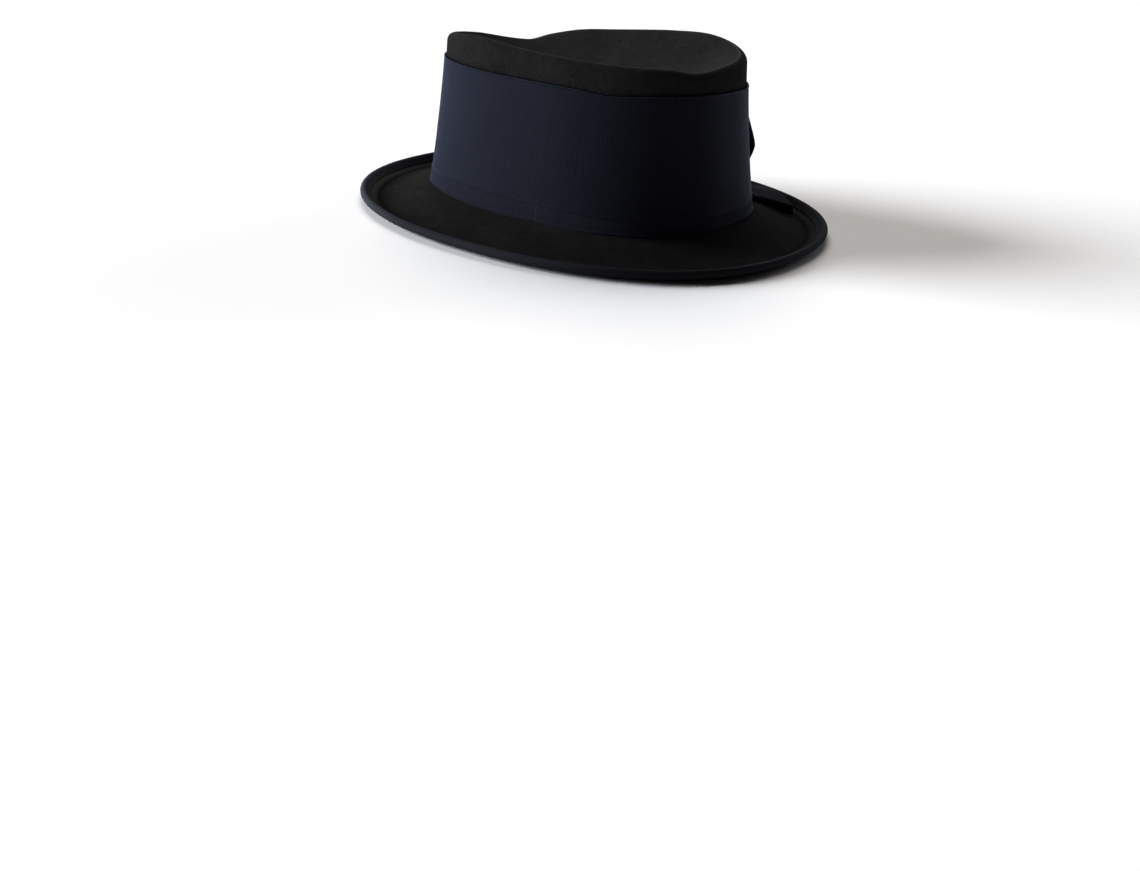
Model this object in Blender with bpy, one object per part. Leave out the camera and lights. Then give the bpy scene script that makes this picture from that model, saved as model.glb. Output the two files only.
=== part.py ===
"""A felt fedora with a dished crown, a wide ribbon, a narrow band at the crown's foot, a bound brim and a side bow.

Metres, +Z up. The origin lies on the surface that the brim rests on, under the middle of the brim. +X is the
front and +Y the wearer's left. A bearing is an angle in degrees from the front, towards the wearer's left.
"""

from math import atan2, cos, degrees, pi, radians, sin, sqrt

import bmesh
import bpy

# The crown of the felt hood, measured outside the felt, at its foot and at its tip
CROWN_LENGTH = 0.1994
CROWN_WIDTH = 0.163
CROWN_HEIGHT = 0.097
CROWN_SETBACK = 0.0018
CROWN_OVAL_POWER = 2.54
TIP_LENGTH = 0.1848
TIP_WIDTH = 0.1358
TIP_LEAN = 0.0038
TIP_SHARE = 0.94
WAIST = 0.0011
RIDGE_RADIUS = 0.0048
DISH_DEPTH = 0.025
FELT_WALL = 0.0017

# The brim, measured over its binding
BRIM_LENGTH = 0.2948
BRIM_WIDTH = 0.2606
BRIM_OVAL_POWER = 2.21
FOOT_HEIGHT = 0.0114
BREAK_RADIUS = 0.003
REST_BAND = 0.0022
CURL_RADIUS = 0.0125
CURL_ANGLE = 49.0

# The ribbons, all of one grosgrain
RIBBON_WALL = 0.001
RIBBON_HEIGHT = 0.0658
FOOT_BAND_HEIGHT = 0.0099
BINDING_WIDTH = 0.0047
CLEARANCE = 0.0003

# The bow on the wearer's left
BOW_BEARING = 63.0
BOW_RISE = 0.047
LOOP_LENGTH = 0.038
LOOP_HEIGHT = 0.046
LOOP_GAP = 0.0012
LOOP_PUFF = 0.0070
LOOP_BELLY = 0.0035
KNOT_WIDTH = 0.014
KNOT_HEIGHT = 0.034
KNOT_PUFF = 0.0068
TAIL_BEARING = 55.0
TAIL_ROOT_WIDTH = 0.026
TAIL_END_WIDTH = 0.056
TAIL_LIFT = 0.0045

# How finely the faces follow the round forms
STATIONS = 60
SIDE_STEPS = 4
RIDGE_STEPS = 3
CURL_STEPS = 4
KNOT_COLUMNS = 5
TAIL_COLUMNS = 7
FOLD_ANGLE = 50.0

# How high the crown's top edge stands round the hat: bearing, height as a share of CROWN_HEIGHT
RIDGE = (
    (-15.0, 0.908),
    (18.0, 0.948),
    (50.0, 1.000),
    (75.0, 0.981),
    (96.0, 0.953),
    (115.0, 0.924),
    (132.0, 0.882),
    (157.0, 0.818),
    (184.0, 0.880),
    (216.0, 0.935),
    (236.0, 0.966),
    (262.0, 0.947),
    (310.0, 0.935),
    (333.0, 0.930),
)

# The dish in the crown's top: distance out as a share of the ridge's, fall as a share of the dish's depth
DISH_SHARES = (
    (0.25, 0.965),
    (0.45, 0.860),
    (0.62, 0.680),
    (0.76, 0.450),
    (0.87, 0.220),
    (0.95, 0.060),
    (1.00, 0.000),
)

# The turn from the crown's side to the brim: distance out and height, as shares of BREAK_RADIUS
BREAK_SHARES = (
    (0.00, 1.00),
    (0.12, 0.50),
    (0.45, 0.12),
    (1.00, -0.15),
)

# The brim's slope: distance out from the break to the crease, and fall, both as shares
SLOPE_SHARES = (
    (0.35, 0.38),
    (0.70, 0.75),
    (1.00, 1.00),
)

# A bow loop seen from above: distance from the knot as a share of LOOP_LENGTH, stand-off as a share of LOOP_PUFF,
# and height as a share of LOOP_HEIGHT
LOOP_SHARES = (
    (0.00, 0.08, 0.46),
    (0.22, 0.05, 0.50),
    (0.41, 0.05, 0.72),
    (0.60, 0.05, 0.92),
    (0.92, 0.06, 1.00),
    (1.00, 0.32, 1.00),
    (0.95, 0.72, 1.00),
    (0.75, 0.98, 0.97),
    (0.45, 0.96, 0.80),
    (0.20, 0.58, 0.50),
    (0.00, 0.52, 0.46),
)

# The knot from its foot to its top: height as a share of half of KNOT_HEIGHT, stand-off as a share of KNOT_PUFF
KNOT_SHARES = (
    (-1.00, 0.00),
    (-0.97, 0.40),
    (-0.82, 0.78),
    (-0.45, 0.94),
    (0.00, 1.00),
    (0.45, 0.94),
    (0.82, 0.78),
    (0.97, 0.40),
    (1.00, 0.00),
)

# Where the tail's rows lie: shares of the brim's slope, then shares of the way up the crown to the knot
TAIL_OUT_SHARES = (1.08, 0.81, 0.54, 0.30)
TAIL_UP_SHARES = (0.0, 0.35, 0.70, 1.0)


def oval(length, width, power, bearing):
    """The radius at a bearing of an oval, which is an ellipse at power 2 and squarer above it."""
    along, across = abs(cos(radians(bearing))), abs(sin(radians(bearing)))
    return ((2 * along / length) ** power + (2 * across / width) ** power) ** (-1 / power)


def smooth_between(before, start, end, after, bearing):
    """The value at a bearing between two rows (bearing, value), on a smooth curve that heeds their neighbours."""
    reach = end[0] - start[0]
    leave = (end[1] - before[1]) / (end[0] - before[0]) * reach
    arrive = (after[1] - start[1]) / (after[0] - start[0]) * reach
    way = (bearing - start[0]) / reach
    rise = way * way * (3 - 2 * way)
    return start[1] * (1 - rise) + end[1] * rise + leave * way * (1 - way) ** 2 + arrive * way * way * (way - 1)


def ridge_height(bearing):
    """The height of the crown's top edge over the floor."""
    turned_back = [(at - 360, share) for at, share in RIDGE[-2:]]
    turned_on = [(at + 360, share) for at, share in RIDGE[:2]]
    rows = turned_back + list(RIDGE) + turned_on
    bearing = (bearing - RIDGE[0][0]) % 360 + RIDGE[0][0]
    start = max(k for k in range(1, len(rows) - 2) if rows[k][0] <= bearing)
    return FOOT_HEIGHT + smooth_between(*rows[start - 1 : start + 3], bearing) * CROWN_HEIGHT


def crown_share(height):
    """Where a height over the floor lies on the crown's side: 0 at its foot, 1 where the tip's sizes hold."""
    return (height - FOOT_HEIGHT) / (TIP_SHARE * CROWN_HEIGHT - RIDGE_RADIUS)


def crown_centre(height):
    return -CROWN_SETBACK - TIP_LEAN * crown_share(height)


def crown_radius(bearing, height):
    """The felt's outer radius at a height on the crown's side, about the crown's own centre there."""
    share = crown_share(height)
    foot = oval(CROWN_LENGTH, CROWN_WIDTH, CROWN_OVAL_POWER, bearing)
    tip = oval(TIP_LENGTH, TIP_WIDTH, CROWN_OVAL_POWER, bearing)
    return foot + (tip - foot) * share - 4 * WAIST * share * (1 - share)


def side_row(bearing, height):
    """A row is (radius, height, x of the centre that the radius starts from)."""
    return (crown_radius(bearing, height), height, crown_centre(height))


def break_rows(bearing):
    """The rows where the felt turns from the crown's side into the brim."""
    foot = crown_radius(bearing, FOOT_HEIGHT + BREAK_RADIUS)
    centre = crown_centre(FOOT_HEIGHT + BREAK_RADIUS)
    return [(foot + out * BREAK_RADIUS, FOOT_HEIGHT + up * BREAK_RADIUS, centre) for out, up in BREAK_SHARES]


def bead_half():
    """Half the thickness of the bound edge."""
    return FELT_WALL / 2 + CLEARANCE + RIBBON_WALL


def curl_start(bearing):
    """The radius where the flat band under the brim ends and its edge starts to curl up."""
    edge = oval(BRIM_LENGTH, BRIM_WIDTH, BRIM_OVAL_POWER, bearing)
    return edge - CURL_RADIUS * sin(radians(CURL_ANGLE)) - bead_half()


def curl_row(bearing, turn, stand_off):
    """A row on the curl after a turn in degrees, at a distance from the middle of the felt towards the outside."""
    reach = CURL_RADIUS + stand_off
    rise = FELT_WALL / 2 + CURL_RADIUS - reach * cos(radians(turn))
    return (curl_start(bearing) + reach * sin(radians(turn)), rise, 0.0)


def brim_row(bearing, share, lift):
    """A row on the brim's upper side, at a share of the way from the break to the crease, raised by lift."""
    radius, height, centre = break_rows(bearing)[-1]
    crease = curl_start(bearing) - REST_BAND
    fall = share
    before = (0.0, 0.0)
    for row in SLOPE_SHARES:
        if before[0] <= share <= row[0]:
            fall = before[1] + (row[1] - before[1]) * (share - before[0]) / (row[0] - before[0])
        before = row
    return (
        radius + (crease - radius) * share,
        height + (FELT_WALL - height) * fall + lift,
        centre * (1 - share),
    )


def moved(rows, distance):
    """The rows moved square to their own line by a distance: towards the head, or away from it if negative."""
    made = []
    for k, (radius, height, centre) in enumerate(rows):
        normals = []
        for (r0, z0, _), (r1, z1, _) in zip(rows[max(k - 1, 0) : k + 1], rows[max(k, 1) : k + 2]):
            run = sqrt((r1 - r0) ** 2 + (z1 - z0) ** 2)
            normals.append(((z1 - z0) / run, (r0 - r1) / run))
        across = sum(n[0] for n in normals), sum(n[1] for n in normals)
        size = sqrt(across[0] ** 2 + across[1] ** 2)
        mitre = (across[0] / size, across[1] / size)
        reach = distance / (mitre[0] * normals[0][0] + mitre[1] * normals[0][1])
        made.append((radius + reach * mitre[0], height + reach * mitre[1], centre))
    return made


def hood_rows(bearing):
    """The hood's upper side at a bearing, from near the middle of the crown's top out to the brim's edge."""
    top = ridge_height(bearing)
    floor = FOOT_HEIGHT + CROWN_HEIGHT - DISH_DEPTH
    shoulder = top - RIDGE_RADIUS
    crest = crown_radius(bearing, shoulder) - RIDGE_RADIUS
    centre = crown_centre(shoulder)
    rows = [(out * crest, top - (top - floor) * fall, centre) for out, fall in DISH_SHARES]
    for step in range(1, RIDGE_STEPS + 1):
        turn = radians(90 * step / RIDGE_STEPS)
        rows.append((crest + RIDGE_RADIUS * sin(turn), shoulder + RIDGE_RADIUS * cos(turn), centre))
    foot = FOOT_HEIGHT + BREAK_RADIUS
    for step in range(SIDE_STEPS - 1, 0, -1):
        rows.append(side_row(bearing, foot + (shoulder - foot) * step / SIDE_STEPS))
    rows += break_rows(bearing)
    rows += [brim_row(bearing, share, 0) for share, _ in SLOPE_SHARES]
    for step in range(CURL_STEPS + 1):
        rows.append(curl_row(bearing, CURL_ANGLE * step / CURL_STEPS, -FELT_WALL / 2))
    return rows


def hood_section(bearing):
    """The felt at a bearing: its upper side outwards, then its under side back to the middle."""
    rows = hood_rows(bearing)
    return rows + moved(rows, FELT_WALL)[::-1]


def wrap_section(rows):
    """A ribbon laid on the felt along these rows, with its outer face first."""
    return moved(rows, -CLEARANCE - RIBBON_WALL) + moved(rows, -CLEARANCE)[::-1]


def ribbon_section(bearing):
    foot = FOOT_HEIGHT + FOOT_BAND_HEIGHT + CLEARANCE
    return wrap_section([side_row(bearing, foot + share * RIBBON_HEIGHT) for share in (1.0, 0.5, 0.0)])


def foot_band_section(bearing):
    top = FOOT_HEIGHT + FOOT_BAND_HEIGHT
    middle = (top + FOOT_HEIGHT + BREAK_RADIUS) / 2
    return wrap_section([side_row(bearing, top), side_row(bearing, middle)] + break_rows(bearing)[:-1])


def binding_section(bearing):
    """The ribbon folded over the brim's edge: out along the outside, round the tip and back, then its inner face."""
    start = CURL_ANGLE - degrees(BINDING_WIDTH / CURL_RADIUS)
    turns = (start, (start + CURL_ANGLE) / 2, CURL_ANGLE)
    tip_radius, tip_height, _ = curl_row(bearing, CURL_ANGLE, 0)
    faces = []
    for reach, corners in ((bead_half(), 3), (bead_half() - RIBBON_WALL, 2)):
        face = [curl_row(bearing, turn, reach) for turn in turns]
        for k in range(1, corners):
            turn = radians(CURL_ANGLE - 90 + 180 * k / corners)
            face.append((tip_radius + reach * cos(turn), tip_height + reach * sin(turn), 0.0))
        face += [curl_row(bearing, turn, -reach) for turn in turns[::-1]]
        faces.append(face)
    return faces[0] + faces[1][::-1]


def material(name, colour, roughness):
    made = bpy.data.materials.new(name)
    made.use_nodes = True
    shader = made.node_tree.nodes["Principled BSDF"]
    shader.inputs["Base Color"].default_value = (*colour, 1)
    shader.inputs["Roughness"].default_value = roughness
    shader.inputs["Metallic"].default_value = 0
    return made


def finish(name, mesh, look):
    """Turn a bmesh into a named object with its material, smooth except at folds."""
    data = bpy.data.meshes.new(name)
    mesh.to_mesh(data)
    mesh.free()
    data.shade_smooth()
    data.set_sharp_from_angle(angle=radians(FOLD_ANGLE))
    data.materials.append(look)
    made = bpy.data.objects.new(name, data)
    bpy.context.scene.collection.objects.link(made)
    return made


def place_ring(verts, station, rows):
    for vert in verts:
        radius, height, centre = rows[vert[station]]
        bearing = 2 * pi * vert[station] / STATIONS
        vert.co = (centre + radius * cos(bearing), radius * sin(bearing), height)


def turn_round(name, section, capped, look):
    """Draw a round body ring by ring: a capped one ends in the middle on both sides, the others join up."""
    sections = [section(360 * k / STATIONS) for k in range(STATIONS)]
    rings = list(zip(*sections))
    mesh = bmesh.new()
    station = mesh.verts.layers.int.new("station")
    verts = bmesh.ops.create_circle(mesh, radius=1, segments=STATIONS)["verts"]
    for vert in verts:
        vert[station] = round(atan2(vert.co.y, vert.co.x) / (2 * pi) * STATIONS) % STATIONS
    place_ring(verts, station, rings[0])
    first = mesh.edges[:]
    edges = first
    for ring in rings[1:] if capped else rings[1:] + rings[:1]:
        grown = bmesh.ops.extrude_edge_only(mesh, edges=edges)["geom"]
        new = {item for item in grown if isinstance(item, bmesh.types.BMVert)}
        edges = [item for item in grown if isinstance(item, bmesh.types.BMEdge) and new.issuperset(item.verts)]
        place_ring(new, station, ring)
    if capped:
        caps = bmesh.ops.holes_fill(mesh, edges=first + edges)["faces"]
        bmesh.ops.poke(mesh, faces=caps)
    else:
        bmesh.ops.remove_doubles(mesh, verts=mesh.verts, dist=CLEARANCE / 100)
    bmesh.ops.recalc_face_normals(mesh, faces=mesh.faces)
    return finish(name, mesh, look)


def strip(name, columns, rows, place, look):
    """A strip of ribbon: place gives a point for each column and row, and the wall grows from that side."""
    mesh = bmesh.new()
    bmesh.ops.create_grid(mesh, x_segments=columns - 1, y_segments=rows - 1, size=1)
    for vert in mesh.verts:
        column = round((vert.co.x + 1) / 2 * (columns - 1))
        row = round((vert.co.y + 1) / 2 * (rows - 1))
        vert.co = place(column, row)
    bmesh.ops.remove_doubles(mesh, verts=mesh.verts, dist=CLEARANCE / 100)
    made = finish(name, mesh, look)
    wall = made.modifiers.new("wall", "SOLIDIFY")
    wall.thickness = RIBBON_WALL
    wall.use_even_offset = True
    return made, wall


def on_ribbon(bearing, height, stand_off):
    """A point off the wide ribbon's outer face."""
    radius = crown_radius(bearing, height) + CLEARANCE + RIBBON_WALL + CLEARANCE + stand_off
    return (crown_centre(height) + radius * cos(radians(bearing)), radius * sin(radians(bearing)), height)


def bearing_step(length):
    """How many degrees a length takes up on the crown's side at the bow."""
    return degrees(length / crown_radius(BOW_BEARING, FOOT_HEIGHT + BOW_RISE))


def bow_loop(name, way, look):
    """One flat loop: way is -1 for the loop that points to the front and 1 for the one behind."""
    outline = LOOP_SHARES if way < 0 else LOOP_SHARES[::-1]
    edges = (-1, 0, 1)

    def place(column, row):
        along, off, share = outline[column % len(outline)]
        bearing = BOW_BEARING + way * bearing_step(LOOP_GAP / 2 + along * LOOP_LENGTH)
        height = FOOT_HEIGHT + BOW_RISE + edges[row] * share * LOOP_HEIGHT / 2
        belly = off * along * LOOP_BELLY if edges[row] == 0 else 0
        return on_ribbon(bearing, height, off * LOOP_PUFF + belly)

    made, wall = strip(name, len(outline) + 1, len(edges), place, look)
    wall.offset = -1
    return made


def bow_knot(look):
    """The strap over the middle of the loops, with both ends on the ribbon."""

    def place(column, row):
        up, off = KNOT_SHARES[row]
        across = (column / (KNOT_COLUMNS - 1) - 0.5) * KNOT_WIDTH
        height = FOOT_HEIGHT + BOW_RISE + up * KNOT_HEIGHT / 2
        return on_ribbon(BOW_BEARING + bearing_step(across), height, off * KNOT_PUFF)

    made, wall = strip("bow_knot", KNOT_COLUMNS, len(KNOT_SHARES), place, look)
    wall.offset = 1
    return made


def tail_rows(bearing):
    """The under side of the bow's tail at a bearing, from its end on the brim up to the knot."""
    lift = RIBBON_WALL + 2 * CLEARANCE
    rows = [brim_row(bearing, out, lift + TAIL_LIFT * out) for out in TAIL_OUT_SHARES]
    low = FOOT_HEIGHT + 2 * BREAK_RADIUS
    high = FOOT_HEIGHT + BOW_RISE - KNOT_HEIGHT / 2 - lift
    for up in TAIL_UP_SHARES:
        radius, height, centre = side_row(bearing, low + (high - low) * up)
        rows.append((radius + lift + BREAK_RADIUS * (1 - up) ** 3, height, centre))
    return rows


def bow_tail(look):
    """The end of the bow's ribbon, which hangs from the knot and fans out over the brim."""
    line = tail_rows(TAIL_BEARING)
    run = [0.0]
    for (r0, z0, _), (r1, z1, _) in zip(line, line[1:]):
        run.append(run[-1] + sqrt((r1 - r0) ** 2 + (z1 - z0) ** 2))

    def place(column, row):
        share = run[row] / run[-1]
        width = TAIL_END_WIDTH + (TAIL_ROOT_WIDTH - TAIL_END_WIDTH) * share
        middle = TAIL_BEARING + (BOW_BEARING - TAIL_BEARING) * share
        bearing = middle + degrees((column / (TAIL_COLUMNS - 1) - 0.5) * width / line[row][0])
        radius, height, centre = tail_rows(bearing)[row]
        return (centre + radius * cos(radians(bearing)), radius * sin(radians(bearing)), height)

    made, wall = strip("bow_tail", TAIL_COLUMNS, len(line), place, look)
    wall.offset = 1
    return made


for old in list(bpy.data.objects):
    bpy.data.objects.remove(old)

felt = material("black felt", (0.016, 0.015, 0.015), 0.93)
ribbon = material("navy ribbon", (0.010, 0.012, 0.022), 0.55)
foot_ribbon = material("navy foot ribbon", (0.011, 0.013, 0.024), 0.55)
edge_ribbon = material("navy edge ribbon", (0.012, 0.013, 0.020), 0.60)
bow_ribbon = material("navy bow ribbon", (0.010, 0.011, 0.019), 0.60)

turn_round("felt_body", hood_section, True, felt)
turn_round("ribbon_band", ribbon_section, False, ribbon)
turn_round("foot_band", foot_band_section, False, foot_ribbon)
turn_round("edge_binding", binding_section, False, edge_ribbon)
bow_loop("bow_loop_front", -1, bow_ribbon)
bow_loop("bow_loop_back", 1, bow_ribbon)
bow_knot(bow_ribbon)
bow_tail(bow_ribbon)
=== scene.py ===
"""The felt fedora as it is seen: felt hood, ribbons, bound edge and bow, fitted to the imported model.

Metres, +Z up, +X the front and +Y the wearer's left. A bearing is an angle in degrees from the front towards the
wearer's left. Each piece is a grid of columns and rows that one function puts in place.
"""

from math import atan2, cos, degrees, exp, pi, radians, sin, sqrt

import bmesh
import bpy
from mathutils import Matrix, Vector, noise


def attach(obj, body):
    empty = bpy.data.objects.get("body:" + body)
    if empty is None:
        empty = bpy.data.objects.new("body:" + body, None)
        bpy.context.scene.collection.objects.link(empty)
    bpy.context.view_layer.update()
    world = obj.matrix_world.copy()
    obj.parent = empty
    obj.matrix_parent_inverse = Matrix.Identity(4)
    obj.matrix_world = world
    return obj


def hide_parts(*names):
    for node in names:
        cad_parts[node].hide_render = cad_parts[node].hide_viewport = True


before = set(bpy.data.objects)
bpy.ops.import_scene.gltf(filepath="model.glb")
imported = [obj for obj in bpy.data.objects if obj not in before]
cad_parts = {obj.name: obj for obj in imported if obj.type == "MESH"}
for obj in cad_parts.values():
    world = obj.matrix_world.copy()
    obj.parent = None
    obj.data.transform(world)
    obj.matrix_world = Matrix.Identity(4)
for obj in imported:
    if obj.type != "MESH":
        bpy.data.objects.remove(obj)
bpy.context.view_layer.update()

# ---------------------------------------------------------------------------------------------------------------
# The hood is one piece of wool felt, blocked over a form: the dish in the top, the top edge, the crown's side and
# the brim with its curled edge. The felt is matte and fibrous, rubbed a little paler along the top edge, where a
# highlight is painted too, and painted light and shade lie on the crown and the brim.

CROWN_LENGTH, CROWN_WIDTH, CROWN_HEIGHT = 0.1994, 0.163, 0.097
CROWN_SETBACK, CROWN_OVAL_POWER = 0.0018, 2.54
TIP_LENGTH, TIP_WIDTH, TIP_LEAN, TIP_SHARE = 0.1848, 0.1358, 0.0038, 0.94
WAIST, RIDGE_RADIUS, DISH_DEPTH, FELT_WALL = 0.0011, 0.0048, 0.025, 0.0017
BRIM_LENGTH, BRIM_WIDTH, BRIM_OVAL_POWER = 0.2948, 0.2606, 2.21
FOOT_HEIGHT, BREAK_RADIUS, REST_BAND = 0.0114, 0.003, 0.0022
CURL_RADIUS, CURL_ANGLE = 0.0125, 49.0
RIBBON_WALL, CLEARANCE = 0.001, 0.0003

# How high the top edge stands round the hat: bearing, share of CROWN_HEIGHT
RIDGE = (
    (-15, 0.908), (18, 0.948), (50, 1.000), (75, 0.981), (96, 0.953), (115, 0.924), (132, 0.896),
    (145, 0.852), (155, 0.811), (184, 0.880), (216, 0.935), (236, 0.966), (262, 0.947), (310, 0.935), (333, 0.930),
)  # fmt: skip
# The dish: distance out as a share of the top edge's, fall as a share of the depth
DISH = ((0, 1), (0.25, 0.965), (0.45, 0.86), (0.62, 0.68), (0.76, 0.45), (0.87, 0.22), (0.95, 0.06), (1, 0))
# The turn from the side to the brim: distance out and height, as shares of BREAK_RADIUS
BREAK = ((0, 1), (0.12, 0.5), (0.45, 0.12), (1, -0.15))
# The brim's fall from the turn to the crease, both as shares
SLOPE = ((0, 0), (0.35, 0.38), (0.70, 0.75), (1, 1))

# How the ribbon's edges wander from level: bearing, metres up
RIBBON_TOP_WAVE = (
    (212, 0.0002), (240, 0.0002), (268, 0.0003), (285, 0.0004), (299, 0), (307, -0.0011), (314, -0.0010),
    (321, -0.0002), (328, 0.0005), (336, 0.0009), (344, 0.0008), (352, 0.0004), (361, -0.0001), (390, -0.0006),
    (450, 0), (520, 0.0003),
)  # fmt: skip
RIBBON_FOOT_WAVE = (
    (214, -0.0003), (227, -0.0005), (238, 0.0006), (248, 0.0011), (265, 0.0006), (280, 0.0005), (297, 0.0005),
    (312, -0.0004), (321, -0.0007), (329, -0.0002), (340, 0.0004), (351, -0.0005), (366, -0.0011), (390, -0.0006),
    (450, 0), (520, 0.0002),
)  # fmt: skip

HOOD_STATIONS = 300
DISH_ROWS, RIDGE_ROWS, SIDE_ROWS, BARE_ROWS, BREAK_ROWS, SLOPE_ROWS, CURL_ROWS = 26, 10, 5, 16, 6, 14, 16
RIBBON_HEIGHT, FOOT_BAND_HEIGHT = 0.0658, 0.0099
RIBBON_TOP = FOOT_HEIGHT + FOOT_BAND_HEIGHT + CLEARANCE + RIBBON_HEIGHT
BREAK_TOP = FOOT_HEIGHT + BREAK_RADIUS
BEAD_HALF = FELT_WALL / 2 + CLEARANCE + RIBBON_WALL  # half of the bound edge's thickness
MERGE_DISTANCE = 1e-6

# The felt's unevenness: bumps round the hat and up it, and how far it strays on the side, the brim and in the dish
BUMPS_ROUND, BUMPS_UP = 2.6, 26
UNEVEN_SIDE, UNEVEN_BRIM, UNEVEN_DISH = 0.0003, 0.0005, 0.0009


def clamped(value):
    """A value held between 0 and 1."""
    return min(max(value, 0), 1)


def smooth(way):
    """The same way from 0 to 1, with a soft start and end."""
    return way * way * (3 - 2 * way)


def around(bearing, radius, height, centre=0.0):
    """The point at a bearing and a radius, about a centre on the hat's long axis."""
    return (centre + radius * cos(radians(bearing)), radius * sin(radians(bearing)), height)


def runs(line):
    """How far along a line of points each point lies."""
    along = [0.0]
    for (x0, y0), (x1, y1) in zip(line, line[1:]):
        along.append(along[-1] + sqrt((x1 - x0) ** 2 + (y1 - y0) ** 2))
    return along


def eased(table, at):
    """The value at a place in a table of (place, value), on a smooth curve through its rows."""
    last = len(table) - 1
    k = min(max(sum(row[0] <= at for row in table) - 1, 0), last - 1)
    (x0, y0), (x1, y1) = table[k], table[k + 1]
    (xa, ya), (xb, yb) = table[max(k - 1, 0)], table[min(k + 2, last)]
    reach = x1 - x0
    leave, arrive = (y1 - ya) / (x1 - xa) * reach, (yb - y0) / (xb - x0) * reach
    way = clamped((at - x0) / reach)
    rise = smooth(way)
    return y0 * (1 - rise) + y1 * rise + leave * way * (1 - way) ** 2 + arrive * way * way * (way - 1)


def eased_round(table, bearing):
    """The same for a table that runs once round the hat."""
    before = [(at - 360, value) for at, value in table[-2:]]
    after = [(at + 360, value) for at, value in table[:2]]
    return eased(before + list(table) + after, (bearing - table[0][0]) % 360 + table[0][0])


def oval(length, width, power, bearing):
    along, across = abs(cos(radians(bearing))), abs(sin(radians(bearing)))
    return ((2 * along / length) ** power + (2 * across / width) ** power) ** (-1 / power)


def unevenness(bearing, height, seed):
    """Felt is never quite even: a smooth number between about -1 and 1 that changes over a few centimetres."""
    turn = radians(bearing)
    return noise.noise(Vector((BUMPS_ROUND * cos(turn) + seed, BUMPS_ROUND * sin(turn), BUMPS_UP * height)))


def ridge_height(bearing):
    return FOOT_HEIGHT + eased_round(RIDGE, bearing) * CROWN_HEIGHT


def crown_share(height):
    return (height - FOOT_HEIGHT) / (TIP_SHARE * CROWN_HEIGHT - RIDGE_RADIUS)


def crown_centre(height):
    return -CROWN_SETBACK - TIP_LEAN * crown_share(height)


def crown_radius(bearing, height):
    """The felt's outer radius on the crown's side, about the crown's own centre at that height."""
    share = crown_share(height)
    foot = oval(CROWN_LENGTH, CROWN_WIDTH, CROWN_OVAL_POWER, bearing)
    tip = oval(TIP_LENGTH, TIP_WIDTH, CROWN_OVAL_POWER, bearing)
    even = foot + (tip - foot) * share - 4 * WAIST * share * (1 - share)
    return even + UNEVEN_SIDE * unevenness(bearing, height, seed=3)


def break_row(bearing, way):
    """A row where the felt turns from the crown's side (way 0) into the brim (way 1)."""
    out = way * way * (1.6 - 0.6 * way)
    radius = crown_radius(bearing, BREAK_TOP) + out * BREAK_RADIUS
    return (radius, FOOT_HEIGHT + eased(BREAK, out) * BREAK_RADIUS, crown_centre(BREAK_TOP))


def curl_start(bearing):
    """The radius where the flat band under the brim ends and its edge starts to curl up."""
    edge = oval(BRIM_LENGTH, BRIM_WIDTH, BRIM_OVAL_POWER, bearing)
    return edge - CURL_RADIUS * sin(radians(CURL_ANGLE)) - BEAD_HALF


def curl_row(bearing, turn, stand_off):
    """A row on the curl after a turn in degrees, at a distance from the felt's middle towards the outside."""
    reach = CURL_RADIUS + stand_off
    height = FELT_WALL / 2 + CURL_RADIUS - reach * cos(radians(turn))
    return (curl_start(bearing) + reach * sin(radians(turn)), height, 0.0)


def brim_row(bearing, share, lift=0.0):
    """A row on the brim's upper side, at a share of the way from the turn to the crease."""
    radius, height, centre = break_row(bearing, 1)
    crease = curl_start(bearing) - REST_BAND
    wave = UNEVEN_BRIM * unevenness(bearing, 0.6 + share * 0.05, seed=11) * sin(pi * min(share, 1))
    height += (FELT_WALL - height) * eased(SLOPE, share) + lift + wave
    return (radius + (crease - radius) * share, height, centre * (1 - share))


# The bearing where the brim's edge gets the most painted light
PAINTED_LIGHT_BEARING = 25


def painted_end_light(bearing):
    """How much painted light the brim's edge gets, most at the front and the back: 0 to 1."""
    return max(cos(radians(2 * (bearing - PAINTED_LIGHT_BEARING))), 0)


def hood_profile(bearing):
    """The hood's upper side at a bearing, from the brim's edge in to the middle of the dish."""
    top = ridge_height(bearing)
    floor = FOOT_HEIGHT + CROWN_HEIGHT - DISH_DEPTH
    shoulder = top - RIDGE_RADIUS
    crest = crown_radius(bearing, shoulder) - RIDGE_RADIUS
    centre = crown_centre(shoulder)
    rows = [curl_row(bearing, CURL_ANGLE * (1 - k / CURL_ROWS), -FELT_WALL / 2) for k in range(CURL_ROWS + 1)]
    rows += [brim_row(bearing, 1 - k / SLOPE_ROWS) for k in range(SLOPE_ROWS)]
    rows += [break_row(bearing, 1 - k / BREAK_ROWS) for k in range(BREAK_ROWS)]
    bare = min(RIBBON_TOP - 0.002, shoulder - 0.001)  # just below the ribbon's top, where the felt comes into sight
    heights = [BREAK_TOP + (bare - BREAK_TOP) * k / SIDE_ROWS for k in range(SIDE_ROWS)]
    heights += [bare + (shoulder - bare) * k / BARE_ROWS for k in range(BARE_ROWS)]
    rows += [(crown_radius(bearing, height), height, crown_centre(height)) for height in heights]
    for k in range(RIDGE_ROWS):
        turn = radians(90 * k / RIDGE_ROWS)
        rows.append((crest + RIDGE_RADIUS * cos(turn), shoulder + RIDGE_RADIUS * sin(turn), centre))
    for k in range(DISH_ROWS + 1):
        out = 1 - (k / DISH_ROWS) ** 1.6
        dent = UNEVEN_DISH * unevenness(bearing, 2 + out * 0.02, seed=5) * (1 - out) * out * 4
        rows.append((out * crest, top - (top - floor) * eased(DISH, out) + dent, centre))
    return rows


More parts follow.
